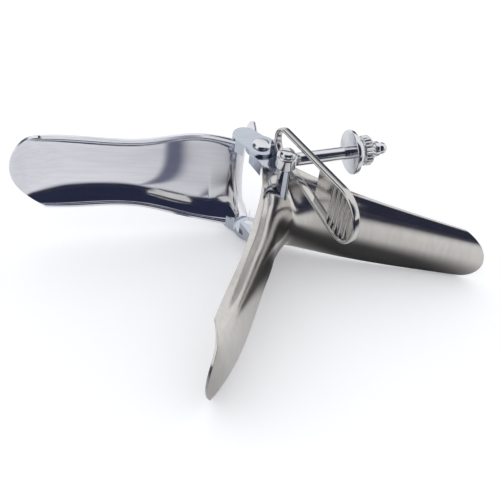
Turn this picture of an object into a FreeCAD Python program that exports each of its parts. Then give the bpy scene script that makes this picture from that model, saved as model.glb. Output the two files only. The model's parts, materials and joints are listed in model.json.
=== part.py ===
"""Bivalve speculum with a side thumb lever and a screw lock, lying open on a table.

Everything is drawn in the hinge frame and placed at the end:
  Z  along the hinge axis, plus towards the side that carries the lever
  X  along the blades when they are shut, plus towards the tips
  Y  from the upper blade to the lower blade
Each blade is drawn shut, its rims in the plane Y = 0, and then swung half the opening
about Z. The lock is drawn in the lever's own frame: along the lever, out from its face,
and along the hinge.
"""
import math
import os

import FreeCAD
import Part
import Sketcher
from FreeCAD import Placement, Rotation, Vector

os.makedirs("parts", exist_ok=True)
doc = FreeCAD.newDocument("speculum")

SIZES = [
    # the attitude at rest, in degrees
    ("half_opening", 39.0, "each blade from the middle of the opening"),
    ("rest_yaw", 220.2, "turn of the whole part about the vertical"),
    ("rest_roll", -8.88, "lean of the hinge axis about the blade direction"),
    ("rest_pitch", -2.07, "lean of the hinge axis across it"),
    # the blades
    ("sheet_wall", 1.2, "sheet steel of both blades"),
    ("upper_length", 106.0, "hinge axis to the upper blade's tip"),
    ("lower_length", 111.0, "hinge axis to the lower blade's tip"),
    ("tip_half", 17.8, "half width at the tip, before it is rounded"),
    ("blade_half", 19.3, "half width at the broad end of the blade"),
    ("waist_half", 17.9, "half width at the waist"),
    ("throat_half", 23.2, "half width where the throat opens"),
    ("hinge_half", 21.6, "half width of the lower blade at the hinge"),
    ("tip_depth", 1.8, "blade's middle plane to its floor at the tip"),
    ("spoon_depth", 6.4, "the same a little behind the tip"),
    ("blade_depth", 10.2, "the same at the broad end"),
    ("waist_depth", 12.4, "the same at the waist"),
    ("throat_depth", 13.4, "the same where the bend starts"),
    ("lower_deeper", 1.6, "how much deeper the lower blade is than the upper one"),
    ("rim_bow", 5.0, "how far the rims bow back from the middle plane"),
    ("bend_reach", 38.0, "how far from the hinge the lower blade's bend starts and ends"),
    ("lip_angle", 83.0, "blade to lip"),
    ("tip_round", 15.0, "length of the rounded tip"),
    ("grip_length", 102.0, "hinge axis to the end of the lower blade's grip"),
    ("grip_root_half", 19.4, "half width of the grip at its root"),
    ("grip_mid_half", 16.2, "half width of the grip at its middle"),
    ("grip_end_half", 11.0, "half width of the grip at its end"),
    ("grip_root_depth", 11.5, "depth of the grip's curve at its root"),
    ("grip_mid_depth", 9.0, "depth of the grip's curve at its middle"),
    ("grip_end_depth", 3.0, "depth of the grip's curve at its end"),
    ("grip_bow", 4.0, "how far the grip's edges bow towards its curve"),
    ("grip_round", 11.0, "length of the rounded grip end"),
    ("flange_reach", 19.0, "how far from the hinge the upper blade's bend starts and ends"),
    ("flange_length", 25.0, "hinge axis to the edge of the upper blade's flange"),
    ("flange_half", 24.6, "half width of the flange at its edge"),
    ("flange_depth", 3.0, "depth of the flange's curve"),
    ("flange_round", 9.0, "length of the flange's rounded corners"),
    ("clench_room", 0.6, "clearance between the lower blade and the clenched rivet"),
    ("ear_room", 0.8, "clearance between the upper blade and its round ear"),
    # the hinge
    ("pin_radius", 2.0, "hinge rivet shank"),
    ("running_gap", 0.06, "radial clearance of whatever turns on a pin"),
    ("seat_gap", 0.02, "radial clearance of whatever is fixed on a pin"),
    ("side_gap", 0.1, "clearance between the lugs"),
    ("seam_gap", 0.03, "brazed seam between a blade and what is fitted to it"),
    ("lug_wall", 1.3, "thickness of a lug"),
    ("lug_radius", 6.5, "round end of a lug"),
    ("lug_shoulder", 1.0, "ear stands out beyond the sides of its tongue"),
    ("lug_reach", 9.0, "length of a lug's tongue"),
    ("lug_pad", 5.0, "depth of the pad brazed on the blade"),
    ("head_radius", 3.9, "hinge rivet head"),
    ("head_height", 1.3, "hinge rivet head"),
    ("head_edge", 0.9, "rounded edge of the hinge rivet head"),
    ("clench_radius", 3.3, "clenched inner end of the hinge rivet"),
    ("clench_height", 1.1, "clenched inner end of the hinge rivet"),
    # the lever, along its length from the foot of the hinge axis
    ("lever_angle", 115.8, "lever from the shut upper blade, in degrees"),
    ("lever_centre", 34.0, "middle of the lever along the hinge axis"),
    ("lever_near", 12.6, "centre of the lever's small round end"),
    ("lever_near_radius", 7.0, "small round end"),
    ("lever_far", 56.7, "centre of the lever's broad round end"),
    ("lever_far_radius", 12.0, "broad round end"),
    ("lever_back", 4.9, "hinge axis to the lever's back face"),
    ("lever_floor", 1.2, "floor of the lever"),
    ("lever_height", 3.1, "height of the lever's turned edge"),
    ("lever_edge", 1.7, "width of the lever's turned edge"),
    ("window_end", 38.0, "far end of the window in the lever"),
    ("rib_first", 49.0, "first grip rib"),
    ("rib_count", 5, "grip ribs"),
    ("rib_pitch", 3.0, "grip rib spacing"),
    ("rib_width", 1.3, "grip rib"),
    ("rib_height", 0.8, "grip rib"),
    ("arm_reach", 17.0, "length of the arm that carries the lever"),
    ("arm_drop", 0.7, "the arm stands out behind the lever's back by this much"),
    # the lock
    ("pivot_along", 22.0, "rod pivot, along the lever at rest"),
    ("pivot_out", 1.3, "rod pivot, out from the lever at rest"),
    ("rod_tilt", 8.2, "rod from square to the lever at rest, in degrees"),
    ("rod_radius", 2.7, "screw rod"),
    ("eye_radius", 4.2, "eye of the rod"),
    ("eye_width", 5.8, "eye of the rod along its pivot"),
    ("screw_radius", 1.4, "pivot screw shank"),
    ("screw_head_radius", 3.2, "pivot screw head"),
    ("screw_head_height", 1.7, "pivot screw head"),
    ("screw_head_edge", 0.7, "broken edge of the pivot screw head"),
    ("screw_slot", 0.8, "slot of the pivot screw"),
    ("post_base_radius", 3.1, "post at the blade"),
    ("post_top_radius", 2.4, "post at the eye"),
    ("post_root", 9.0, "lowest point of the post along the hinge axis"),
    ("disc_place", 28.4, "rod pivot to the middle of the pressure disc"),
    ("disc_radius", 9.2, "pressure disc"),
    ("disc_wall", 2.0, "pressure disc"),
    ("disc_edge", 0.6, "broken edges of the pressure disc"),
    ("hub_length", 3.2, "hub between disc and knurl"),
    ("hub_radius", 5.0, "hub between disc and knurl"),
    ("hub_foot", 6.8, "the same at the disc"),
    ("knurl_radius", 6.2, "knurled ring of the nut"),
    ("knurl_width", 3.6, "knurled ring of the nut"),
    ("knurl_count", 26, "grooves round the knurl"),
    ("knurl_groove", 0.5, "radius of a knurl groove"),
    ("boss_length", 1.2, "boss on the outer end of the nut"),
    ("boss_radius", 3.6, "boss on the outer end of the nut"),
    ("stop_radius", 3.2, "collar of the rod's end stop"),
    ("stop_width", 1.7, "collar of the rod's end stop"),
    ("ball_radius", 2.5, "ball of the rod's end stop"),
    ("ball_place", 41.8, "rod pivot to the middle of the ball"),
]

sheet = doc.addObject("Spreadsheet::Sheet", "Sizes")
for row, (alias, value, note) in enumerate(SIZES, 1):
    sheet.set(f"A{row}", note)
    sheet.set(f"B{row}", str(value))
    sheet.setAlias(f"B{row}", alias)
doc.recompute()


def size(alias):
    return float(sheet.get(alias))


def bind(obj, expressions):
    """Ties properties to the sheet; a bare alias is short for Sizes.alias."""
    for prop, expression in expressions.items():
        for alias, _value, _note in sorted(SIZES, key=lambda entry: -len(entry[0])):
            expression = expression.replace("#" + alias, "Sizes." + alias)
        obj.setExpression(prop, expression)
    return obj


def primitive(kind, name, expressions, turn=None):
    obj = doc.addObject("Part::" + kind, name)
    if turn:
        obj.Placement = Placement(Vector(), turn)
    return bind(obj, expressions)


def fuse(name, pieces, kind="MultiFuse"):
    obj = doc.addObject("Part::" + kind, name)
    obj.Shapes = list(pieces)
    return obj


def cut(name, base, tools):
    """Cuts one tool after another; the last cut bears the name."""
    for i, tool in enumerate(tools, 1):
        obj = doc.addObject("Part::Cut", name if i == len(tools) else f"{name}_cut_{i}")
        obj.Base, obj.Tool = base, tool
        base = obj
    return base


# Blades

GRID_STEP = 6
GRID_ACROSS = 12


def eased(stations, place):
    """Value at place along (place, value) stations, joined by smooth cubics."""
    last = len(stations) - 1
    slopes = []
    for i in range(last + 1):
        (a, va), (b, vb) = stations[max(i - 1, 0)], stations[min(i + 1, last)]
        slopes.append((vb - va) / (b - a))
    place = min(max(place, stations[0][0]), stations[-1][0])
    i = max(j for j in range(last) if stations[j][0] <= place)
    (a, va), (b, vb) = stations[i], stations[i + 1]
    span, t = b - a, (place - a) / (b - a)
    return ((2 * t**3 - 3 * t**2 + 1) * va + (t**3 - 2 * t**2 + t) * span * slopes[i]
            + (3 * t**2 - 2 * t**3) * vb + (t**3 - t**2) * span * slopes[i + 1])


class Blade:
    """One blade drawn as the lower one; along is minus towards the tip, plus on its lip."""

    def __init__(self, label, length, deeper, lip_length, lip_round, lip_bow, reach, room,
                 lip_widths, lip_depths):
        bow = size("rim_bow")
        self.label, self.length, self.room, self.reach = label, length, room, reach
        self.lip_length, self.lip_round = lip_length, lip_round
        self.widths = [(-length, size("tip_half")), (-0.82 * length, size("blade_half")),
                       (-0.5 * length, size("waist_half")),
                       (-0.24 * length, size("throat_half"))] + lip_widths
        self.depths = [(-length, size("tip_depth") + deeper),
                       (-0.92 * length, size("spoon_depth") + deeper),
                       (-0.78 * length, size("blade_depth") + deeper),
                       (-0.5 * length, size("waist_depth") + deeper),
                       (-reach, size("throat_depth") + deeper)] + lip_depths
        self.bows = [(-length, 0), (-0.8 * length, 0.35 * bow), (-0.5 * length, 0.9 * bow),
                     (-0.24 * length, bow), (0, 0)]
        self.lip_bows = [(0, 0), (0.25 * lip_length, lip_bow), (0.55 * lip_length, lip_bow),
                         (lip_length, 0)]
        lip = math.radians(size("lip_angle"))
        self.lip_way = Vector(math.cos(lip), math.sin(lip), 0)
        self.lip_out = Vector(math.sin(lip), -math.cos(lip), 0)

    def rim(self, along):
        """Middle of the two rims, which turn at the hinge axis inside the blade's room."""
        if abs(along) < self.room:
            t = (along + self.room) / (2 * self.room)
            return self.rim(-self.room) * (1 - t)**2 + self.rim(self.room) * t**2
        if along < 0:
            return Vector(-along, eased(self.bows, along), 0)
        return self.lip_way * along + self.lip_out * eased(self.lip_bows, along)

    def floor(self, along):
        """Lowest line of the trough, which sweeps through the bend on a Bezier curve."""
        reach = self.reach
        if along <= -reach:
            return Vector(-along, eased(self.depths, along), 0)
        if along >= reach:
            return self.lip_way * along + self.lip_out * eased(self.depths, along)
        start = Vector(reach, eased(self.depths, -reach), 0)
        end = self.lip_way * reach + self.lip_out * eased(self.depths, reach)
        corner = end - self.lip_way * ((end.y - start.y) / self.lip_way.y)
        t = (along + reach) / (2 * reach)
        return start * (1 - t)**2 + corner * (2 * t * (1 - t)) + end * t**2

    def point(self, share, around):
        """A point of the sheet's middle surface, share going 0 to 1 from tip to lip and
        around 0 to pi from rim to rim; both ends are rounded towards the rims."""
        start = -self.length + size("tip_round") * (1 - math.sin(around))
        end = self.lip_length - self.lip_round * (1 - math.sin(around))
        along = start + (end - start) * share
        rim = self.rim(along)
        return (rim + (self.floor(along) - rim) * math.sin(around)
                + Vector(0, 0, eased(self.widths, along) * math.cos(around)))

    def faces(self, offsets):
        """Surfaces at these distances outside the sheet's middle, all on one grid of points."""
        rows, across = 2 + int((self.length + self.lip_length) / GRID_STEP), GRID_ACROSS
        middle = Part.BSplineSurface()
        middle.interpolate([[self.point(i / (rows - 1), math.pi * j / across)
                             for j in range(across + 1)] for i in range(rows)])
        first_u, last_u, first_v, last_v = middle.bounds()
        outward = middle.normal((first_u + last_u) / 2, (first_v + last_v) / 2).y
        surfaces = []
        for offset in offsets:
            grid = []
            for i in range(rows):
                u = first_u + (last_u - first_u) * i / (rows - 1)
                grid.append([])
                for j in range(across + 1):
                    v = first_v + (last_v - first_v) * j / across
                    way = middle.normal(u, v) * math.copysign(1, outward)
                    grid[-1].append(middle.value(u, v) + way * offset)
            surface = Part.BSplineSurface()
            surface.interpolate(grid)
            surfaces.append(surface)
        return surfaces


def closed_solid(side, other):
    """Solid between two like surfaces: both, and the strips that join their four edges."""
    faces = [side.toShape(), other.toShape()]
    u0, u1, v0, v1 = side.bounds()
    p0, p1, q0, q1 = other.bounds()
    edges = [(side.uIso(u0), other.uIso(p0)), (side.uIso(u1), other.uIso(p1)),
             (side.vIso(v0), other.vIso(q0)), (side.vIso(v1), other.vIso(q1))]
    for one, two in edges:
        faces.append(Part.makeRuledSurface(one.toShape(), two.toShape()))
    shell = Part.makeShell(faces)
    shell.sewShape()
    solid = Part.makeSolid(Part.Shell(shell.Faces))
    if solid.Volume < 0:
        solid.reverse()
    return solid


def filled_solid(side):
    """The trough filled up to its rims: what lies inside the sheet's outer face."""
    u0, u1, v0, v1 = side.bounds()
    rims = side.vIso(v0).toShape(), side.vIso(v1).toShape()
    ends = []
    for u in (u0, u1):
        arc = side.uIso(u).toShape()
        chord = Part.makeLine(arc.Vertexes[0].Point, arc.Vertexes[-1].Point)
        ends.append(Part.makeRuledSurface(arc, chord))
    shell = Part.makeShell([side.toShape(), Part.makeRuledSurface(*rims)] + ends)
    shell.sewShape()
    solid = Part.makeSolid(Part.Shell(shell.Faces))
    if solid.Volume < 0:
        solid.reverse()
    return solid


def built(form, flipped):
    """The blade's solid, and what its lugs are fitted to: the filled trough and its wall."""
    half = size("sheet_wall") / 2
    outer, inner, bed = form.faces((half, -half, half + size("seam_gap")))
    tall = 4 * size("hinge_half")
    room = Part.makeCylinder(form.room, tall, Vector(0, 0, -tall / 2))
    wall = closed_solid(outer, inner).cut(room)
    shapes = {form.label: wall, form.label + "_filled": filled_solid(bed), form.label + "_wall": wall}
    objects = []
    for name, shape in shapes.items():
        obj = doc.addObject("Part::Feature", name)
        obj.Shape = shape.mirror(Vector(), Vector(0, 1, 0)) if flipped else shape
        objects.append(obj)
    return objects[0], objects[1:]


grip = size("grip_length")
lower_blade, lower_bed = built(Blade(
    "lower_blade", size("lower_length"), size("lower_deeper"), grip, size("grip_round"),
    size("grip_bow"), size("bend_reach"), size("clench_radius") + size("clench_room"),
    [(0, size("hinge_half")), (0.24 * grip, size("grip_root_half")),
     (0.55 * grip, size("grip_mid_half")), (grip, size("grip_end_half"))],
    [(size("bend_reach"), size("grip_root_depth")), (0.6 * grip, size("grip_mid_depth")),
     (grip, size("grip_end_depth"))]), False)
upper_blade, upper_bed = built(Blade(
    "upper_blade", size("upper_length"), 0, size("flange_length"), size("flange_round"), 0,
    size("flange_reach"), size("lug_radius") + size("ear_room"),
    [(0, size("hinge_half") + size("lug_wall") + size("side_gap")),
     (size("flange_length"), size("flange_half"))],
    [(size("flange_reach"), size("flange_depth")),
     (size("flange_reach") + size("flange_length"), size("flange_depth"))]), True)


# Hinge

LOWER_FACE = "#hinge_half + #sheet_wall / 2"
UPPER_FACE = LOWER_FACE + " + #lug_wall + #side_gap"
LUG_TURN = {"lower": size("lip_angle") / 2, "upper": -size("lip_angle") / 2}


def lug(which, side, bed, extras=(), cuts=()):
    """Round ear with the pivot hole and a tongue whose pad follows the blade."""
    name = f"{which}_lug_{side}"
    face = LOWER_FACE if which == "lower" else UPPER_FACE
    sign = 1 if side == "lever_side" else -1
    low = face if sign > 0 else f"-1 * ({face} + #lug_wall)"
    deep = f"{face} - #lug_pad" if sign > 0 else f"-1 * ({face} + #lug_wall)"
    turn = Rotation(Vector(0, 0, 1), LUG_TURN[which])
    ear = primitive("Cylinder", name + "_ear",
                    {"Radius": "#lug_radius", "Height": "#lug_wall", "Placement.Base.z": low})
    angle = math.radians(LUG_TURN[which])
    tongue = primitive("Box", name + "_tongue",
                       {"Length": "#lug_reach", "Width": "2 * (#lug_radius - #lug_shoulder)",
                        "Height": "#lug_wall + #lug_pad", "Placement.Base.z": deep,
                        "Placement.Base.x": f"(#lug_radius - #lug_shoulder) * {math.sin(angle)}",
                        "Placement.Base.y": f"(#lug_shoulder - #lug_radius) * {math.cos(angle)}"}, turn)
    toe = primitive("Cylinder", name + "_toe",
                    {"Radius": "#lug_radius - #lug_shoulder", "Height": "#lug_wall + #lug_pad",
                     "Placement.Base.x": f"#lug_reach * {math.cos(angle)}",
                     "Placement.Base.y": f"#lug_reach * {math.sin(angle)}",
                     "Placement.Base.z": deep})
    room_from = f"{face} - #lug_pad - 1" if sign > 0 else f"-1 * ({face})"
    room = primitive("Cylinder", name + "_room",
                     {"Radius": "#lug_radius + #ear_room" if which == "upper"
                      else "#clench_radius + #clench_room",
                      "Height": "#lug_pad + 1", "Placement.Base.z": room_from})
    bore_gap = "#seat_gap" if which == "lower" else "#running_gap"
    bore = primitive("Cylinder", name + "_bore",
                     {"Radius": f"#pin_radius + {bore_gap}", "Height": "4 * #hinge_half",
                      "Placement.Base.z": "-2 * #hinge_half"})
    body = fuse(name + "_blank", [ear, tongue, toe] + list(extras))
    return cut(name, body, list(bed) + [room, bore] + list(cuts))


def domed(kind, name, head, edge):
    """The head with its top edge broken by a fillet or a chamfer."""
    obj = doc.addObject("Part::" + kind, name)
    obj.Base = head
    doc.recompute()
    edges = head.Shape.Edges
    top = max(range(len(edges)), key=lambda i: edges[i].CenterOfMass.z)
    obj.Edges = [(top + 1, edge, edge)]
    return obj


def rivet(side):
    """Hinge rivet: domed head outside, shank through both lugs, clenched end inside."""
    name = "hinge_rivet_" + side
    turned_over = Placement(Vector(), Rotation(Vector(1, 0, 0), 0 if side == "lever_side" else 180))
    stack = "(2 * #lug_wall + #side_gap)"
    head = primitive("Cylinder", name + "_head", {
        "Radius": "#head_radius", "Height": "#head_height",
        "Placement.Base.z": f"{LOWER_FACE} + {stack} + #side_gap / 2"})
    shank = primitive("Cylinder", name + "_shank", {
        "Radius": "#pin_radius", "Height": f"{stack} + #side_gap",
        "Placement.Base.z": LOWER_FACE})
    clench = primitive("Cylinder", name + "_clench", {
        "Radius": "#clench_radius", "Height": "#clench_height",
        "Placement.Base.z": f"{LOWER_FACE} - #clench_height"})
    dome = domed("Fillet", name + "_dome", head, size("head_edge"))
    whole = fuse(name, [dome, shank, clench])
    whole.Placement = turned_over
    return whole


# Lever

LEVER_TURN = math.radians(size("lever_angle"))
LEVER_FRAME = Rotation(Vector(math.cos(LEVER_TURN), math.sin(LEVER_TURN), 0), Vector(0, 0, 1),
                       Vector(math.sin(LEVER_TURN), -math.cos(LEVER_TURN), 0), "XYZ")
BACK = "(-1 * #lever_back)"


def in_lever(along, across, out):
    """Where a piece of the lever lies, from its place along, across and out of the lever."""
    cosine, sine = "cos(#lever_angle * 1 deg)", "sin(#lever_angle * 1 deg)"
    return {"Placement.Base.x": f"({along}) * {cosine} + ({out}) * {sine}",
            "Placement.Base.y": f"({along}) * {sine} - ({out}) * {cosine}",
            "Placement.Base.z": f"#lever_centre + ({across})"}


def tapered_slot(name, out, inset, near="#lever_near", far="#lever_far"):
    """Sketch of the lever's outline: two round ends and their common tangents."""
    sketch = doc.addObject("Sketcher::SketchObject", name)
    sketch.Placement = Placement(Vector(), LEVER_FRAME)
    bind(sketch, in_lever("0", "0", out))
    first, last = size("lever_near"), size("lever_far")
    small, large = size("lever_near_radius"), size("lever_far_radius")
    lean = math.asin((large - small) / (last - first))
    up, down = math.pi / 2 + lean, -math.pi / 2 - lean
    normal = Vector(0, 0, 1)
    sketch.addGeometry(Part.ArcOfCircle(Part.Circle(Vector(first, 0, 0), normal, small),
                                        up, down + 2 * math.pi))
    sketch.addGeometry(Part.ArcOfCircle(Part.Circle(Vector(last, 0, 0), normal, large), down, up))

    def spot(centre, radius, angle):
        return Vector(centre + radius * math.cos(angle), radius * math.sin(angle), 0)

    sketch.addGeometry(Part.LineSegment(spot(first, small, up), spot(last, large, up)))
    sketch.addGeometry(Part.LineSegment(spot(last, large, down), spot(first, small, down)))
    for one, end_one, two, end_two in ((0, 1, 2, 1), (2, 2, 1, 2), (1, 1, 3, 1), (3, 2, 0, 2)):
        sketch.addConstraint(Sketcher.Constraint("Tangent", one, end_one, two, end_two))
    for arc in (0, 1):
        sketch.addConstraint(Sketcher.Constraint("PointOnObject", arc, 3, -1))
    driven = ((Sketcher.Constraint("DistanceX", -1, 1, 0, 3, first), near),
              (Sketcher.Constraint("DistanceX", -1, 1, 1, 3, last), far),
              (Sketcher.Constraint("Radius", 0, small), f"#lever_near_radius - {inset}"),
              (Sketcher.Constraint("Radius", 1, large), f"#lever_far_radius - {inset}"))
    for constraint, expression in driven:
        index = sketch.addConstraint(constraint)
        bind(sketch, {f"Constraints[{index}]": expression})
    return sketch


def raised(name, sketch, height):
    obj = doc.addObject("Part::Extrusion", name)
    obj.Base, obj.DirMode, obj.Solid = sketch, "Normal", True
    return bind(obj, {"LengthFwd": height})


def thumb_lever():
    """Pressed tray with a turned edge, a window for the rod and grip ribs across its end."""
    outline = raised("lever_outline", tapered_slot("lever_plan", BACK, "0"), "#lever_height")
    hollow = raised("lever_hollow", tapered_slot("lever_inside", f"{BACK} + #lever_floor", "#lever_edge"),
                    "#lever_height")
    opening = raised("lever_opening", tapered_slot("lever_window_plan", f"{BACK} - 1", "#lever_edge"),
                     "#lever_height + 2")
    stretch = primitive("Box", "lever_window_stretch",
                        {"Length": "#window_end", "Width": "4 * #lever_far_radius",
                         "Height": "2 * #lever_height + 4",
                         **in_lever("0", "2 * #lever_far_radius * -1", f"{BACK} - 2")}, LEVER_FRAME)
    window = fuse("lever_window", [opening, stretch], "MultiCommon")
    tray = cut("lever_tray", outline, [hollow, window])
    ribs = []
    for i in range(int(size("rib_count"))):
        ribs.append(primitive("Box", f"lever_rib_{i + 1}",
                              {"Length": "#rib_width", "Width": "1.5 * #lever_far_radius",
                               "Height": "#lever_floor + 2 * #rib_height",
                               **in_lever(f"#rib_first + {i} * #rib_pitch", "-0.75 * #lever_far_radius",
                                          f"{BACK} - #rib_height")}, LEVER_FRAME))
    return outline, fuse("thumb_lever", [tray] + ribs)


lever_outline, lever = thumb_lever()


def lever_arm():
    """Arm of the upper lug up to the lever, and the seat that the lever is brazed to."""
    arm = primitive("Box", "lever_arm_bar",
                    {"Length": "#arm_reach", "Width": "#lug_wall",
                     "Height": "#lever_height + #arm_drop",
                     **in_lever("0", f"{UPPER_FACE} - #lever_centre", f"{BACK} - #arm_drop")}, LEVER_FRAME)
    seat = primitive("Box", "lever_arm_seat",
                     {"Length": "#lever_near - #head_radius - 4 * #side_gap",
                      "Width": f"#lever_centre - ({UPPER_FACE}) - #lever_near_radius / 2",
                      "Height": "#lever_height",
                      **in_lever("#head_radius + 4 * #side_gap", f"{UPPER_FACE} - #lever_centre",
                                 BACK)}, LEVER_FRAME)
    return arm, seat


# Lock

def rod_place():
    """Frame of the rod inside the shut lower blade: X along it from its pivot."""
    turn = math.radians(size("lever_angle") - 2 * size("half_opening"))
    along, out = size("pivot_along"), size("pivot_out")
    pivot = Vector(along * math.cos(turn) + out * math.sin(turn),
                   along * math.sin(turn) - out * math.cos(turn), size("lever_centre"))
    return Placement(pivot, Rotation(Vector(0, 0, 1), math.degrees(turn) + 90 - size("rod_tilt")))


ALONG_ROD = Rotation(Vector(0, 1, 0), 90)


def rod_cylinder(name, radius, start, length):
    return primitive("Cylinder", name,
                     {"Radius": radius, "Height": length, "Placement.Base.x": start}, ALONG_ROD)


def screw_rod():
    eye = primitive("Cylinder", "rod_eye", {"Radius": "#eye_radius", "Height": "#eye_width",
                                            "Placement.Base.z": "#eye_width / -2"})
    shaft = rod_cylinder("rod_shaft", "#rod_radius", "#eye_radius / 2", "#ball_place - #eye_radius / 2")
    bore = primitive("Cylinder", "rod_eye_bore",
                     {"Radius": "#screw_radius + #running_gap", "Height": "2 * #eye_width",
                      "Placement.Base.z": "#eye_width * -1"})
    end = rod_cylinder("rod_end_room", "#rod_radius + 1", "#ball_place - #ball_radius", "#ball_radius * 2")
    tenon = rod_cylinder("rod_tenon", "#rod_radius / 2", "#eye_radius", "#ball_place - #eye_radius")
    turned = cut("rod_turned", fuse("rod_blank", [eye, shaft]), [bore, end])
    return fuse("screw_rod", [turned, tenon])


def rod_end_stop():
    ball = primitive("Sphere", "stop_ball", {"Radius": "#ball_radius", "Placement.Base.x": "#ball_place"})
    collar = rod_cylinder("stop_collar", "#stop_radius",
                          "#ball_place - #ball_radius - #stop_width / 2", "#stop_width")
    inside = rod_cylinder("stop_inside", "#rod_radius", "0", "#ball_place - #ball_radius")
    socket = rod_cylinder("stop_socket", "#rod_radius / 2", "0", "#ball_place")
    return cut("rod_end_stop", fuse("stop_blank", [ball, collar]), [inside, socket])


def pressure_disc():
    disc = rod_cylinder("disc_blank", "#disc_radius", "#disc_place - #disc_wall / 2", "#disc_wall")
    eased_disc = doc.addObject("Part::Chamfer", "disc_eased")
    eased_disc.Base = disc
    doc.recompute()
    rims = [(i + 1, size("disc_edge"), size("disc_edge"))
            for i, edge in enumerate(disc.Shape.Edges) if edge.Closed]
    eased_disc.Edges = rims
    bore = rod_cylinder("disc_bore", "#rod_radius + #running_gap", "0", "#ball_place")
    return cut("pressure_disc", eased_disc, [bore])


def knurled_nut():
    start = "#disc_place + #disc_wall / 2 + #side_gap"
    hub = primitive("Cone", "nut_hub", {"Radius1": "#hub_foot", "Radius2": "#hub_radius",
                                        "Height": "#hub_length", "Placement.Base.x": start}, ALONG_ROD)
    ring = rod_cylinder("nut_ring", "#knurl_radius", f"{start} + #hub_length", "#knurl_width")
    grooves = []
    for i in range(int(size("knurl_count"))):
        angle = 2 * math.pi * i / size("knurl_count")
        groove = rod_cylinder(f"nut_groove_{i + 1}", "#knurl_groove", f"{start} + #hub_length", "#knurl_width")
        bind(groove, {"Placement.Base.y": f"#knurl_radius * {math.cos(angle):.6f}",
                      "Placement.Base.z": f"#knurl_radius * {math.sin(angle):.6f}"})
        grooves.append(groove)
    boss = rod_cylinder("nut_boss", "#boss_radius", f"{start} + #hub_length + #knurl_width", "#boss_length")
    bore = rod_cylinder("nut_bore", "#rod_radius + #running_gap", "0", "2 * #ball_place")
    knurl = cut("nut_knurl", ring, [fuse("nut_grooves", grooves)])
    return cut("knurled_nut", fuse("nut_blank", [knurl, hub, boss]), [bore])


EYE_TOP = "#lever_centre + #eye_width / 2 + #side_gap"


def pivot_post():
    """Turned post on the lower blade that carries the rod's pivot screw."""
    place = {"Placement.Base.x": "#pivot_along * cos((#lever_angle - 2 * #half_opening) * 1 deg)"
                                 " + #pivot_out * sin((#lever_angle - 2 * #half_opening) * 1 deg)",
             "Placement.Base.y": "#pivot_along * sin((#lever_angle - 2 * #half_opening) * 1 deg)"
                                 " - #pivot_out * cos((#lever_angle - 2 * #half_opening) * 1 deg)"}
    post = primitive("Cone", "post_turned", {
        "Radius1": "#post_base_radius", "Radius2": "#post_top_radius",
        "Height": "#lever_centre - #eye_width / 2 - #side_gap - #post_root",
        "Placement.Base.z": "#post_root", **place})
    hole = primitive("Cylinder", "post_hole", {
        "Radius": "#screw_radius + #seat_gap", "Height": "#eye_width * 4",
        "Placement.Base.z": "#lever_centre - #eye_width / 2 - #screw_radius * 6", **place})
    screw_head = primitive("Cylinder", "screw_head", {
        "Radius": "#screw_head_radius", "Height": "#screw_head_height",
        "Placement.Base.z": EYE_TOP, **place})
    dome = domed("Chamfer", "screw_dome", screw_head, size("screw_head_edge"))
    shank = primitive("Cylinder", "screw_shank", {
        "Radius": "#screw_radius", "Height": "#eye_width + 2 * #side_gap + #screw_radius * 5",
        "Placement.Base.z": "#lever_centre - #eye_width / 2 - #side_gap - #screw_radius * 5", **place})
    slot = primitive("Box", "screw_slot_cut", {
        "Length": "#screw_slot", "Width": "#screw_head_radius * 3", "Height": "#screw_head_height",
        "Placement.Base.x": place["Placement.Base.x"] + " - #screw_slot / 2",
        "Placement.Base.y": place["Placement.Base.y"] + " - #screw_head_radius * 1.5",
        "Placement.Base.z": EYE_TOP + " + #screw_head_height / 2"})
    return (cut("pivot_post", post, lower_bed + [hole]),
            cut("pivot_screw", fuse("screw_blank", [dome, shank]), [slot]))


# Assembly

post, screw = pivot_post()
LOWER = [lower_blade, lug("lower", "lever_side", lower_bed), lug("lower", "plain_side", lower_bed),
         rivet("lever_side"), rivet("plain_side"), post, screw]
UPPER = [upper_blade,
         lug("upper", "lever_side", upper_bed[:1], lever_arm(), [lever_outline]),
         lug("upper", "plain_side", upper_bed[:1]), lever]
ROD = [screw_rod(), rod_end_stop(), pressure_disc(), knurled_nut()]
doc.recompute()

rest = Placement(Vector(), Rotation(Vector(0, 0, 1), size("rest_yaw"))
                 * Rotation(Vector(1, 0, 0), size("rest_roll"))
                 * Rotation(Vector(0, 1, 0), size("rest_pitch")))
lower_swing = Placement(Vector(), Rotation(Vector(0, 0, 1), size("half_opening")))
upper_swing = Placement(Vector(), Rotation(Vector(0, 0, 1), -size("half_opening")))

pieces = []
for group, swing in ((LOWER, lower_swing), (UPPER, upper_swing), (ROD, lower_swing * rod_place())):
    for piece in group:
        piece.Label = piece.Name
        piece.Placement = rest * swing * piece.Placement
        pieces.append(piece)
doc.recompute()

box = FreeCAD.BoundBox()
for piece in pieces:
    box.add(piece.Shape.optimalBoundingBox(False))
to_floor = Placement(Vector(-box.Center.x, -box.Center.y, -box.ZMin), Rotation())
for piece in pieces:
    piece.Placement = to_floor * piece.Placement
doc.recompute()

for obj in doc.Objects:
    if {"Invalid", "Error"} & set(obj.State):
        raise RuntimeError(f"{obj.Name} did not build: {obj.State}")
for piece in pieces:
    if not piece.Shape.isValid() or piece.Shape.Volume <= 0:
        raise RuntimeError(f"{piece.Label} is not a sound solid")
    piece.Shape.exportStep(f"parts/{piece.Label}.step")
    print(piece.Label, round(piece.Shape.Volume, 1), len(piece.Shape.Solids))
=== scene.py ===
"""Looks of the bivalve speculum: polished sheet blades, a pressed lever and a turned lock.

Shapes are drawn in millimetres in the same frames as the solids: the hinge frame has Z
along the hinge axis and X along the shut blades, and each blade swings half the opening.
"""
import json
import math

import bpy
from mathutils import Matrix, Vector


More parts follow.
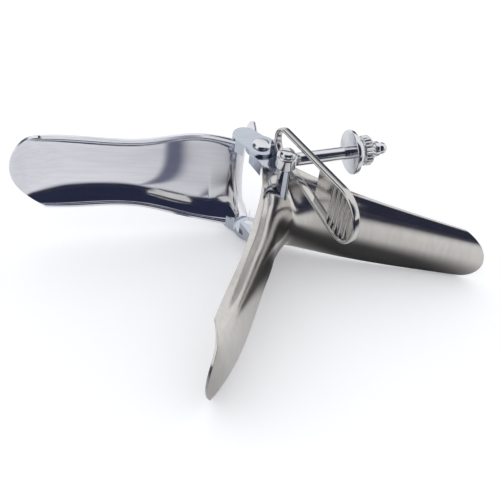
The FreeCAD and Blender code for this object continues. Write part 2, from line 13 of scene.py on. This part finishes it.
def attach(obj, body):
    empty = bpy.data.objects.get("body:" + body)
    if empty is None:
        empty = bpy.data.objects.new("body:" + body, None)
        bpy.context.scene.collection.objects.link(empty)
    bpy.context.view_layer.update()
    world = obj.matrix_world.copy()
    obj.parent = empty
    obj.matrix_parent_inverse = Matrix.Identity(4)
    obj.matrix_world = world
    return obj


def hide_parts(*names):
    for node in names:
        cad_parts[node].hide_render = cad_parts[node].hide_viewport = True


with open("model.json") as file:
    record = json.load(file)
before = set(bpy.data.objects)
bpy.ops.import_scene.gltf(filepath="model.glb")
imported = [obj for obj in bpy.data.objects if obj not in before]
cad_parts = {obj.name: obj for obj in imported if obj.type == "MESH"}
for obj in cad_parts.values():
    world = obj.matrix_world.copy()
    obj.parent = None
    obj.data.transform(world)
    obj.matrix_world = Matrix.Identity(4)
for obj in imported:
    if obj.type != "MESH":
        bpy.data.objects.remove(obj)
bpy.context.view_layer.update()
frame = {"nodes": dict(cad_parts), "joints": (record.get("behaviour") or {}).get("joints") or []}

# Sizes in millimetres and angles in degrees, as in the solids' source.
HALF_OPENING = 39.0
LEVER_ANGLE = 115.8
ROD_TILT = 8.2
LEVER_CENTRE = 34.0
WALL = 1.2
HINGE_HALF = 21.6
LIP_ANGLE = 83.0
TIP_ROUND = 15.0
RIM_BOW = 5.0
GRIP_LENGTH = 102.0
GRIP_BOW = 4.0
BEND_REACH = 38.0
FLANGE_LENGTH = 25.0
FLANGE_REACH = 19.0
LOWER_LENGTH = 111.0
LOWER_DEEPER = 1.6
LOWER_ROOM = 3.9
UPPER_LENGTH = 106.0
UPPER_ROOM = 7.3
PIVOT_ALONG, PIVOT_OUT = 22.0, 1.3
SHEET_EDGE, SHEET_ROWS, SHEET_ACROSS = 0.42, 260, 56


# Frames

def turned(axis, degrees):
    """Matrix of a turn about this axis."""
    return Matrix.Rotation(math.radians(degrees), 4, axis)


def axes(x, y, z, origin=(0, 0, 0)):
    """Frame with these three directions as its columns."""
    matrix = Matrix((x, y, z)).transposed().to_4x4()
    matrix.translation = origin
    return matrix


def hinge_frame():
    """The hinge frame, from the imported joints, with millimetres as its unit."""
    joints = {j["name"]: j for j in frame["joints"]}
    up = Vector(joints["valve_hinge"]["axis"]).normalized()
    along_rod = -Vector(joints["disc_slide"]["axis"]).normalized()
    back = -(LEVER_ANGLE - HALF_OPENING + 90 - ROD_TILT)
    ahead = Matrix.Rotation(math.radians(back), 3, up) @ along_rod
    side = up.cross(ahead)
    return axes(ahead, side, up, joints["valve_hinge"]["pos_m"]) @ Matrix.Scale(0.001, 4)


HINGE = hinge_frame()
LOWER = HINGE @ turned("Z", HALF_OPENING)
UPPER = HINGE @ turned("Z", -HALF_OPENING)


def rod_frame():
    """Frame of the screw rod: X along it from its pivot, Z along the pivot."""
    turn = LEVER_ANGLE - 2 * HALF_OPENING
    c, s = math.cos(math.radians(turn)), math.sin(math.radians(turn))
    pivot = (PIVOT_ALONG * c + PIVOT_OUT * s, PIVOT_ALONG * s - PIVOT_OUT * c, LEVER_CENTRE)
    return LOWER @ Matrix.Translation(pivot) @ turned("Z", turn + 90 - ROD_TILT)


def lever_frame():
    """Frame of the lever: X along it, Y across it, Z out of its face."""
    c, s = math.cos(math.radians(LEVER_ANGLE)), math.sin(math.radians(LEVER_ANGLE))
    return UPPER @ axes((c, s, 0), (0, 0, 1), (s, -c, 0), (0, 0, LEVER_CENTRE))


ROD = rod_frame()
LEVER = lever_frame()
ALONG_X = axes((0, 1, 0), (0, 0, 1), (1, 0, 0))


# Meshes

def soften(piece, width, angle):
    """Round the edges that turn by more than the angle."""
    soft = piece.modifiers.new("edges", "BEVEL")
    soft.width, soft.segments = width, 3
    soft.limit_method, soft.angle_limit = "ANGLE", math.radians(angle)
    piece.modifiers.new("normals", "WEIGHTED_NORMAL").keep_sharp = True


def make(name, matrix, verts, faces, body, material, slot, replaces=(), bevel=0.0):
    """A piece at its place, smooth, with softly broken edges."""
    mesh = bpy.data.meshes.new(name)
    mesh.from_pydata([tuple(v) for v in verts], [], faces)
    mesh.update()
    mesh.shade_smooth()
    piece = bpy.data.objects.new(name, mesh)
    bpy.context.scene.collection.objects.link(piece)
    piece.matrix_world = matrix
    mesh.materials.append(material)
    if bevel:
        soften(piece, bevel, 35)
    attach(piece, body)
    if replaces:
        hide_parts(*replaces)
    return piece


def bridge(rings, closed=True, capped=True):
    """Vertices and faces that join rings of points in their order."""
    count = len(rings[0])
    verts = [v for ring in rings for v in ring]
    faces = []
    for r in range(len(rings) - 1):
        for k in range(count if closed else count - 1):
            n = (k + 1) % count
            faces.append((r * count + k, r * count + n, (r + 1) * count + n, (r + 1) * count + k))
    if capped:
        faces.append(tuple(range(count))[::-1])
        faces.append(tuple((len(rings) - 1) * count + k for k in range(count)))
    return verts, faces


def rounded(profile, radius, steps=4):
    """Profile of (place, radius) corners with each inner corner rounded."""
    points = [Vector(p) for p in profile]
    soft = [points[0]]
    for before, here, after in zip(points, points[1:], points[2:]):
        reach = min(radius, (before - here).length * 0.45, (after - here).length * 0.45)
        a = here + (before - here).normalized() * reach
        b = here + (after - here).normalized() * reach
        for k in range(steps + 1):
            t = k / steps
            soft.append(a * (1 - t)**2 + here * (2 * t * (1 - t)) + b * t**2)
    return soft + [points[-1]]


def lathe(profile, segments=96, wave=None):
    """Rings of a turned piece along Z from (place, radius) points."""
    rings = []
    for place, radius in profile:
        ring = []
        for k in range(segments):
            turn = 2 * math.pi * k / segments
            r = radius - (wave(turn, place, radius) if wave else 0.0)
            ring.append((r * math.cos(turn), r * math.sin(turn), place))
        rings.append(ring)
    return bridge(rings)


# Blades

def eased(stations, place):
    """Value at place along (place, value) stations, joined by smooth cubics."""
    last = len(stations) - 1
    slopes = []
    for i in range(last + 1):
        (a, va), (b, vb) = stations[max(i - 1, 0)], stations[min(i + 1, last)]
        slopes.append((vb - va) / (b - a))
    place = min(max(place, stations[0][0]), stations[-1][0])
    i = max(j for j in range(last) if stations[j][0] <= place)
    (a, va), (b, vb) = stations[i], stations[i + 1]
    span, t = b - a, (place - a) / (b - a)
    return ((2 * t**3 - 3 * t**2 + 1) * va + (t**3 - 2 * t**2 + t) * span * slopes[i]
            + (3 * t**2 - 2 * t**3) * vb + (t**3 - t**2) * span * slopes[i + 1])


class Blade:
    """One blade drawn as the lower one; along is minus towards the tip, plus on its lip."""

    def __init__(self, length, deeper, lip_length, lip_round, lip_bow, reach, room,
                 lip_widths, lip_depths):
        self.length, self.reach, self.room = length, reach, room
        self.lip_length, self.lip_round = lip_length, lip_round
        self.widths = [(-length, 17.8), (-0.82 * length, 19.3), (-0.5 * length, 17.9),
                       (-0.24 * length, 23.2)] + lip_widths
        self.depths = [(-length, 1.8 + deeper), (-0.92 * length, 6.4 + deeper),
                       (-0.78 * length, 10.2 + deeper), (-0.5 * length, 12.4 + deeper),
                       (-reach, 13.4 + deeper)] + lip_depths
        self.bows = [(-length, 0), (-0.8 * length, 0.35 * RIM_BOW), (-0.5 * length, 0.9 * RIM_BOW),
                     (-0.24 * length, RIM_BOW), (0, 0)]
        self.lip_bows = [(0, 0), (0.25 * lip_length, lip_bow), (0.55 * lip_length, lip_bow),
                         (lip_length, 0)]
        c, s = math.cos(math.radians(LIP_ANGLE)), math.sin(math.radians(LIP_ANGLE))
        self.lip_way, self.lip_out = Vector((c, s, 0)), Vector((s, -c, 0))

    def rim(self, along):
        """Middle of the two rims, which turn at the hinge axis inside the blade's room."""
        if abs(along) < self.room:
            t = (along + self.room) / (2 * self.room)
            return self.rim(-self.room) * (1 - t)**2 + self.rim(self.room) * t**2
        if along < 0:
            return Vector((-along, eased(self.bows, along), 0))
        return self.lip_way * along + self.lip_out * eased(self.lip_bows, along)

    def floor(self, along):
        """Lowest line of the trough, which sweeps through the bend on a Bezier curve."""
        reach = self.reach
        if along <= -reach:
            return Vector((-along, eased(self.depths, along), 0))
        if along >= reach:
            return self.lip_way * along + self.lip_out * eased(self.depths, along)
        start = Vector((reach, eased(self.depths, -reach), 0))
        end = self.lip_way * reach + self.lip_out * eased(self.depths, reach)
        corner = end - self.lip_way * ((end.y - start.y) / self.lip_way.y)
        t = (along + reach) / (2 * reach)
        return start * (1 - t)**2 + corner * (2 * t * (1 - t)) + end * t**2

    def point(self, share, around):
        """A point of the sheet, share going 0 to 1 from tip to lip, around 0 to pi across."""
        start = -self.length + TIP_ROUND * (1 - math.sin(around))
        end = self.lip_length - self.lip_round * (1 - math.sin(around))
        along = start + (end - start) * share
        rim = self.rim(along)
        return (rim + (self.floor(along) - rim) * math.sin(around)
                + Vector((0, 0, eased(self.widths, along) * math.cos(around))))

    def sheet(self, name, matrix, flipped, **place):
        """The blade as a mesh; its rims stand back by its room from the hinge axis."""
        grid = []
        for i in range(SHEET_ROWS + 1):
            share, low = i / SHEET_ROWS, 0.0
            if self.point(share, 0.0).xy.length < self.room:
                near, far = 0.0, math.pi / 2
                for _ in range(24):
                    low = (near + far) / 2
                    if self.point(share, low).xy.length < self.room:
                        near = low
                    else:
                        far = low
            grid.append([self.point(share, low + (math.pi - 2 * low) * j / SHEET_ACROSS)
                         for j in range(SHEET_ACROSS + 1)])
        if flipped:
            grid = [[Vector((p.x, -p.y, p.z)) for p in line] for line in grid]
        verts, faces = bridge(grid, closed=False, capped=False)
        piece = make(name, matrix, verts, faces, **place)
        wall = piece.modifiers.new("sheet", "SOLIDIFY")
        wall.thickness, wall.offset = WALL, 0.0
        soften(piece, SHEET_EDGE, 50)
        return piece


# Materials

SMUDGES, PATCHES, FINE_LINES = 0.05, 0.11, 0.9
NOISE_EDGES = (0.35, 0.65)
PATCH_TONE = 0.93
RELIEF_DEPTH = 0.0001
MM_PER_M = 1000.0


def mixed(tree, factor, a, b):
    """Colour from a to b as the factor goes 0 to 1; each is a colour or a node's output."""
    node = tree.nodes.new("ShaderNodeMix")
    node.data_type = "RGBA"
    tree.links.new(factor, node.inputs["Factor"])
    for socket, colour in (("A", a), ("B", b)):
        if isinstance(colour, tuple):
            node.inputs[socket].default_value = (*colour, 1)
        else:
            tree.links.new(colour, node.inputs[socket])
    return node.outputs["Result"]


def ranged(tree, value, start, end, low=0.0, high=1.0, smooth=False):
    """Value mapped from start..end to low..high."""
    node = tree.nodes.new("ShaderNodeMapRange")
    if smooth:
        node.interpolation_type = "SMOOTHSTEP"
    node.inputs["From Min"].default_value, node.inputs["From Max"].default_value = start, end
    node.inputs["To Min"].default_value, node.inputs["To Max"].default_value = low, high
    tree.links.new(value, node.inputs["Value"])
    return node.outputs["Result"]


def steel(name, colour, rough=(0.06, 0.16), grain=(1.0, 14.0, 14.0), bump=0.04, unit=1.0):
    """Polished steel with smudges, patches along its grain and fine lines.

    The unit is the length in millimetres of one unit of the mesh.
    """
    material = bpy.data.materials.new(name)
    material.use_nodes = True
    tree = material.node_tree
    nodes, links = tree.nodes, tree.links
    shader = nodes["Principled BSDF"]
    shader.inputs["Metallic"].default_value = 1.0
    where = nodes.new("ShaderNodeTexCoord")

    def noise(scale, detail, stretch):
        place = nodes.new("ShaderNodeMapping")
        place.inputs["Scale"].default_value = [unit * s for s in stretch]
        links.new(where.outputs["Object"], place.inputs["Vector"])
        cloud = nodes.new("ShaderNodeTexNoise")
        cloud.inputs["Scale"].default_value = scale
        cloud.inputs["Detail"].default_value = detail
        links.new(place.outputs["Vector"], cloud.inputs["Vector"])
        return cloud.outputs["Fac"]

    smudge = noise(SMUDGES, 4, (1, 1, 1))
    links.new(ranged(tree, smudge, *NOISE_EDGES, *rough), shader.inputs["Roughness"])
    patch = ranged(tree, noise(PATCHES, 3, grain), *NOISE_EDGES)
    darker = tuple(c * PATCH_TONE for c in colour)
    links.new(mixed(tree, patch, darker, colour), shader.inputs["Base Color"])
    relief = nodes.new("ShaderNodeBump")
    relief.inputs["Strength"].default_value = bump
    relief.inputs["Distance"].default_value = RELIEF_DEPTH
    links.new(noise(FINE_LINES, 2, grain), relief.inputs["Height"])
    links.new(relief.outputs["Normal"], shader.inputs["Normal"])
    return material


BLADE_STEEL = steel("blade_steel", (0.84, 0.85, 0.91), rough=(0.05, 0.11),
                    grain=(0.4, 6.0, 6.0), bump=0.02)
GRIP_STEEL = steel("grip_steel", (0.68, 0.66, 0.64), rough=(0.12, 0.20),
                   grain=(6.0, 6.0, 0.8), bump=0.03)
FITTING_STEEL = steel("fitting_steel", (0.66, 0.65, 0.64), rough=(0.08, 0.14))
TURNED_STEEL = steel("turned_steel", (0.78, 0.79, 0.82), rough=(0.10, 0.18),
                     grain=(14.0, 1.0, 1.0))
CAD_STEEL = steel("joined_steel", (0.60, 0.64, 0.72), rough=(0.12, 0.22), bump=0.0,
                  unit=MM_PER_M)
SCREW_STEEL = steel("screw_steel", (0.78, 0.79, 0.82), rough=(0.10, 0.18), bump=0.0,
                    unit=MM_PER_M)


# Blades as pieces

LOWER_BLADE = Blade(
    length=LOWER_LENGTH, deeper=LOWER_DEEPER, lip_length=GRIP_LENGTH, lip_round=11.0,
    lip_bow=GRIP_BOW, reach=BEND_REACH, room=LOWER_ROOM,
    lip_widths=[(0, HINGE_HALF), (0.24 * GRIP_LENGTH, 19.4), (0.55 * GRIP_LENGTH, 16.2),
                (GRIP_LENGTH, 11.0)],
    lip_depths=[(BEND_REACH, 11.5), (0.6 * GRIP_LENGTH, 9.0), (GRIP_LENGTH, 3.0)])
UPPER_BLADE = Blade(
    length=UPPER_LENGTH, deeper=0.0, lip_length=FLANGE_LENGTH, lip_round=9.0, lip_bow=0.0,
    reach=FLANGE_REACH, room=UPPER_ROOM,
    lip_widths=[(0, HINGE_HALF + 1.4), (FLANGE_LENGTH, 24.6)],
    lip_depths=[(FLANGE_REACH, 3.0), (FLANGE_REACH + FLANGE_LENGTH, 3.0)])
LOWER_BLADE.sheet("lower_valve", LOWER, False, body="lower", material=GRIP_STEEL,
                  slot="blade_steel", replaces=["lower_blade"])
UPPER_BLADE.sheet("upper_valve", UPPER, True, body="upper", material=BLADE_STEEL,
                  slot="blade_steel", replaces=["upper_blade"])


# Lever: a round-ended window with a turned edge, and a ribbed floor for the thumb

LEVER_NEAR, NEAR_RADIUS = 12.6, 7.0
LEVER_FAR, FAR_RADIUS = 56.7, 12.0
LEVER_LEAN = math.asin((FAR_RADIUS - NEAR_RADIUS) / (LEVER_FAR - LEVER_NEAR))
LEVER_BACK = -4.9
EDGE_WIDTH, EDGE_HEIGHT, EDGE_RADIUS = 1.7, 3.1, 0.72
FLOOR_START, FLOOR_INSET, FLOOR_WALL, FLOOR_EDGE = 38.0, 1.0, 1.2, 0.3
RIB_COUNT, RIB_START, RIB_STEP, RIB_WIDTH = 5, 49.0, 3.0, 1.3
RIB_INSET, RIB_REACH, RIB_EDGE = 1.6, 10.2, 0.45
RIB_LOW, RIB_HIGH = -0.8, 2.0


def slot_outline(inset, steps=40):
    """Outline of the lever, this far inside its edge, and its outward directions."""
    up = math.pi / 2 + LEVER_LEAN
    turns = [(LEVER_NEAR, NEAR_RADIUS, up + (2 * math.pi - 2 * up) * k / steps)
             for k in range(steps + 1)]
    turns += [(LEVER_FAR, FAR_RADIUS, -up + up * k / steps) for k in range(2 * steps + 1)]
    points = []
    for centre, radius, turn in turns:
        way = Vector((math.cos(turn), math.sin(turn), 0))
        points.append((Vector((centre, 0, 0)) + way * (radius - inset), way))
    return points


def lever_half(along, inset=0.0):
    """Half the lever's width between its two round ends."""
    return ((NEAR_RADIUS - inset) / math.cos(LEVER_LEAN)
            + (along - LEVER_NEAR) * math.tan(LEVER_LEAN))


def lever_rim():
    """The lever's turned edge, a rounded bead all the way round."""
    x0, y0 = EDGE_WIDTH / 2 - EDGE_RADIUS, EDGE_HEIGHT / 2 - EDGE_RADIUS
    profile = []
    for quarter, (x, y) in enumerate([(x0, y0), (-x0, y0), (-x0, -y0), (x0, -y0)]):
        for k in range(6):
            turn = math.pi / 2 * (quarter + k / 5)
            profile.append((x + EDGE_RADIUS * math.cos(turn), y + EDGE_RADIUS * math.sin(turn)))
    middle = LEVER_BACK + EDGE_HEIGHT / 2
    rings = [[point + way * x + Vector((0, 0, middle + y)) for x, y in profile]
             for point, way in slot_outline(EDGE_WIDTH / 2)]
    verts, faces = bridge(rings + [rings[0]], capped=False)
    return make("lever_rim", LEVER, verts, faces, "upper", FITTING_STEEL, "fittings_steel",
                ["thumb_lever"])


def slab(points, low, high):
    """A flat plate with this outline between two heights."""
    return bridge([[Vector((p.x, p.y, z)) for p in points] for z in (low, high)])


def lever_floor():
    """The closed far end of the lever."""
    half = lever_half(FLOOR_START, FLOOR_INSET)
    outline = [p for p, _ in slot_outline(FLOOR_INSET) if p.x > FLOOR_START]
    outline = [Vector((FLOOR_START, -half, 0))] + outline + [Vector((FLOOR_START, half, 0))]
    verts, faces = slab(outline, LEVER_BACK, LEVER_BACK + FLOOR_WALL)
    return make("lever_floor", LEVER, verts, faces, "upper", FITTING_STEEL, "fittings_steel",
                bevel=FLOOR_EDGE)


def lever_ribs():
    """Cross ribs on the floor, shorter where the far end rounds off."""
    verts, faces = [], []
    for k in range(RIB_COUNT):
        near = RIB_START + RIB_STEP * k
        far = near + RIB_WIDTH
        half = min(RIB_REACH, lever_half(near) - RIB_INSET)
        if far >= LEVER_FAR:
            half = math.sqrt((FAR_RADIUS - RIB_INSET)**2 - (far - LEVER_FAR)**2)
        corners = [Vector((x, y, 0)) for x, y in
                   ((near, -half), (far, -half), (far, half), (near, half))]
        v, f = slab(corners, LEVER_BACK + RIB_LOW, LEVER_BACK + RIB_HIGH)
        faces += [tuple(i + len(verts) for i in face) for face in f]
        verts += v
    return make("lever_ribs", LEVER, verts, faces, "upper", FITTING_STEEL, "fittings_steel",
                bevel=RIB_EDGE)


lever_rim()
lever_floor()
lever_ribs()


# Turned pieces: the rod with its eye and ball, the disc, the nut and the rivets

ON_AXIS = 0.01
ROD_RADIUS, ROD_START = 2.7, 2.0
EYE_HALF, EYE_RADIUS = 2.9, 4.2
BALL, BALL_RADIUS, BALL_FROM, BALL_STEPS = 41.8, 2.5, -38, 14
COLLAR = BALL - BALL_RADIUS
COLLAR_HALF, COLLAR_RADIUS, NECK_RADIUS = 0.85, 3.2, 1.9
BORE = 2.76
DISC, DISC_HALF, DISC_RADIUS = 28.4, 1.0, 9.2
NUT = DISC + 1.1
KNURL_COUNT, KNURL_DEPTH, KNURL_ROUND = 26, 0.42, 0.7
KNURL_LOW, KNURL_HIGH, KNURL_RADIUS = NUT + 3.3, NUT + 6.7, 5.6
LUG_WALL, RIVET_GAP = 1.3, 0.1
SHANK_RADIUS, SEAT_RADIUS, HEAD_RADIUS, HEAD_TOP_RADIUS = 2.0, 3.3, 3.9, 2.8


def filled(profile):
    """Profile closed to the axis at both ends."""
    return [(profile[0][0], ON_AXIS), *profile, (profile[-1][0], ON_AXIS)]


def turned_piece(name, matrix, profile, body, replaces=(), wave=None, round_by=0.35,
                 segments=96):
    """A piece turned from a (place, radius) profile about Z, with rounded corners."""
    verts, faces = lathe(rounded(profile, round_by), segments, wave)
    return make(name, matrix, verts, faces, body, TURNED_STEEL, "turned_steel", replaces)


def knurl(turn, place, radius):
    """Depth of the grooves in the nut's widest band."""
    if not KNURL_LOW < place < KNURL_HIGH or radius < KNURL_RADIUS:
        return 0.0
    return KNURL_DEPTH * (0.5 - 0.5 * math.cos(KNURL_COUNT * turn))**KNURL_ROUND


turned_piece("rod_bar", ROD @ ALONG_X,
             filled([(ROD_START, ROD_RADIUS), (COLLAR - 0.1, ROD_RADIUS)]), "rod",
             ["screw_rod"])
turned_piece("rod_eye_ring", ROD, filled([(-EYE_HALF, EYE_RADIUS), (EYE_HALF, EYE_RADIUS)]),
             "rod", round_by=0.8)
ball = [(COLLAR - COLLAR_HALF, ON_AXIS), (COLLAR - COLLAR_HALF, COLLAR_RADIUS),
        (COLLAR + COLLAR_HALF, COLLAR_RADIUS), (COLLAR + COLLAR_HALF + 0.01, NECK_RADIUS)]
for k in range(BALL_STEPS):
    turn = math.radians(BALL_FROM + (90 - BALL_FROM) * k / BALL_STEPS)
    ball.append((BALL + BALL_RADIUS * math.sin(turn), BALL_RADIUS * math.cos(turn)))
ball.append((BALL + BALL_RADIUS, ON_AXIS))
turned_piece("rod_ball", ROD @ ALONG_X, ball, "rod", ["rod_end_stop"], round_by=0.25)
turned_piece("lock_disc", ROD @ ALONG_X,
             [(DISC - DISC_HALF, BORE), (DISC - DISC_HALF, DISC_RADIUS),
              (DISC + DISC_HALF, DISC_RADIUS), (DISC + DISC_HALF, BORE)], "disc",
             ["pressure_disc"], round_by=0.6, segments=160)
turned_piece("lock_nut", ROD @ ALONG_X,
             [(NUT + place, radius) for place, radius in
              ((0, BORE), (0, 6.8), (3.2, 5.0), (3.21, 5.7), (3.6, 6.2), (6.4, 6.2),
               (6.8, 5.7), (6.81, 3.6), (8.0, 3.6), (8.0, BORE))], "nut",
             ["knurled_nut"], wave=knurl, round_by=0.3, segments=16 * KNURL_COUNT)

INSIDE, OUTSIDE = HINGE_HALF - WALL / 2, HINGE_HALF + WALL / 2
FACE = OUTSIDE + 2 * LUG_WALL + RIVET_GAP
for end, flip in (("lever_side", 1), ("plain_side", -1)):
    matrix = LOWER @ Matrix.Scale(flip, 4, (0, 0, 1))
    turned_piece("rivet_head_" + end, matrix,
                 filled([(FACE + 0.05, HEAD_RADIUS), (FACE + 0.6, HEAD_RADIUS),
                         (FACE + 1.35, HEAD_TOP_RADIUS)]),
                 "lower", ["hinge_rivet_" + end], round_by=0.5)
    turned_piece("rivet_shank_" + end, matrix,
                 filled([(INSIDE, SEAT_RADIUS), (OUTSIDE, SEAT_RADIUS),
                         (OUTSIDE, SHANK_RADIUS), (FACE + 0.1, SHANK_RADIUS)]),
                 "lower", round_by=0.25)

for name, node in frame["nodes"].items():
    node.data.materials.clear()
    node.data.materials.append(SCREW_STEEL if name == "pivot_screw" else CAD_STEEL)


# Table, light and camera

WHITE = (1, 1, 1)
PAPER = (0.86, 0.87, 0.90)
PAPER_IN_METAL = (0.95, 0.95, 0.95)
NAVY = (0.022, 0.026, 0.055)
TABLE_HALF = 6.0
PAPER_GLOW = 0.24
# In the metal alone, the paper is painted dark as a painted reflection of the dark room: navy at
# the first Y, paper at the second, in metres.
PAINTED_DARK_EDGE = (-0.12, -0.03)
WORLD_LIGHT = 0.95
# Painted shadows on the table, seen in the metal alone: the grip's contact shadow, and a narrow
# band of painted shade beside the hinge. Each gives centre and reach in metres, then colour.
PAINTED_SHADOWS = [((0.052, 0.015, 0), (0.066, 0.016, 1), (0.10, 0.10, 0.105)),
          ((-0.0295, 0.030, 0), (0.004, 0.110, 1), (0.20, 0.21, 0.29))]
PAINTED_SHADOW_EDGES = (0.35, 1.3)
# Dark places all round, seen in the metal alone: azimuth, height, half angle, softness, colour.
DARK_PLACES = [(-78, 36, 44, 5, NAVY), (70, 20, 16, 6, NAVY), (160, 35, 22, 8, NAVY)]
LENS, SENSOR = 72.0, 36.0
# The camera's place and directions in the hinge frame.
CAMERA_RIGHT = Vector((-0.761, 0.6396, 0.109))
CAMERA_DOWN = Vector((0.3892, 0.5844, -0.712))
CAMERA_PLACE = Vector((238.59, 232.10, 284.0))


def table_material():
    """White paper that takes the shadow; in the metal alone it is painted dark towards the camera
    side, a painted reflection of the dark room, with painted shadows on it.
    """
    material = bpy.data.materials.new("table")
    material.use_nodes = True
    tree = material.node_tree
    nodes, links = tree.nodes, tree.links
    shader = nodes["Principled BSDF"]
    shader.inputs["Roughness"].default_value = 0.6
    shader.inputs["Specular IOR Level"].default_value = 0.1
    path = nodes.new("ShaderNodeLightPath")
    where = nodes.new("ShaderNodeTexCoord")
    place = nodes.new("ShaderNodeSeparateXYZ")
    links.new(where.outputs["Object"], place.inputs["Vector"])
    # Painted reflection: in the metal the paper fades to navy towards the camera side.
    tone = mixed(tree, ranged(tree, place.outputs["Y"], *PAINTED_DARK_EDGE, smooth=True),
                 NAVY, PAPER_IN_METAL)
    # Painted shadows: in the metal alone, each one darkens the paper within its reach.
    for centre, reach, colour in PAINTED_SHADOWS:
        near = nodes.new("ShaderNodeVectorMath")
        near.operation = "MULTIPLY_ADD"
        near.inputs[1].default_value = [1 / r for r in reach]
        near.inputs[2].default_value = [-c / r for c, r in zip(centre, reach)]
        links.new(where.outputs["Object"], near.inputs[0])
        away = nodes.new("ShaderNodeVectorMath")
        away.operation = "LENGTH"
        links.new(near.outputs["Vector"], away.inputs[0])
        tone = mixed(tree, ranged(tree, away.outputs["Value"], *PAINTED_SHADOW_EDGES, smooth=True),
                     colour, tone)
    links.new(mixed(tree, path.outputs["Is Glossy Ray"], PAPER, tone),
              shader.inputs["Base Color"])
    glow = nodes.new("ShaderNodeMath")
    glow.operation = "MULTIPLY"
    glow.inputs[1].default_value = PAPER_GLOW
    links.new(path.outputs["Is Camera Ray"], glow.inputs[0])
    shader.inputs["Emission Color"].default_value = (*WHITE, 1)
    links.new(glow.outputs[0], shader.inputs["Emission Strength"])
    return material


def lay_table():
    """The floor that the part lies on."""
    half = TABLE_HALF
    mesh = bpy.data.meshes.new("table")
    mesh.from_pydata([(-half, -half, 0), (half, -half, 0), (half, half, 0), (-half, half, 0)],
                     [], [(0, 1, 2, 3)])
    mesh.materials.append(table_material())
    plane = bpy.data.objects.new("table", mesh)
    bpy.context.scene.collection.objects.link(plane)


def studio():
    """White all round, with the dark of the room behind the photographer."""
    world = bpy.data.worlds.new("studio")
    world.use_nodes = True
    tree = world.node_tree
    nodes, links = tree.nodes, tree.links
    where = nodes.new("ShaderNodeTexCoord")
    sky = WHITE
    for azimuth, height, half, soft, colour in DARK_PLACES:
        a, h = math.radians(azimuth), math.radians(height)
        facing = nodes.new("ShaderNodeVectorMath")
        facing.operation = "DOT_PRODUCT"
        facing.inputs[1].default_value = (math.cos(a) * math.cos(h), math.sin(a) * math.cos(h),
                                          math.sin(h))
        links.new(where.outputs["Generated"], facing.inputs[0])
        edges = [math.cos(math.radians(half + s)) for s in (soft, -soft)]
        sky = mixed(tree, ranged(tree, facing.outputs["Value"], *edges, smooth=True),
                    sky, colour)
    path = nodes.new("ShaderNodeLightPath")
    background = nodes["Background"]
    links.new(mixed(tree, path.outputs["Is Glossy Ray"], WHITE, sky),
              background.inputs["Color"])
    background.inputs["Strength"].default_value = WORLD_LIGHT
    return world


def photo_camera():
    """The camera at the photograph's viewing angle."""
    camera = bpy.data.cameras.new("camera")
    camera.sensor_width, camera.lens = SENSOR, LENS
    camera.clip_start, camera.clip_end = 0.01, 20
    viewer = bpy.data.objects.new("camera", camera)
    bpy.context.scene.collection.objects.link(viewer)
    turn = HINGE.to_3x3().normalized()
    right, down = turn @ CAMERA_RIGHT.normalized(), turn @ CAMERA_DOWN.normalized()
    viewer.matrix_world = axes(right, -down, right.cross(-down), HINGE @ CAMERA_PLACE)
    return viewer


lay_table()
bpy.context.scene.world = studio()
bpy.context.scene.camera = photo_camera()
bpy.context.scene.view_settings.view_transform = "Standard"
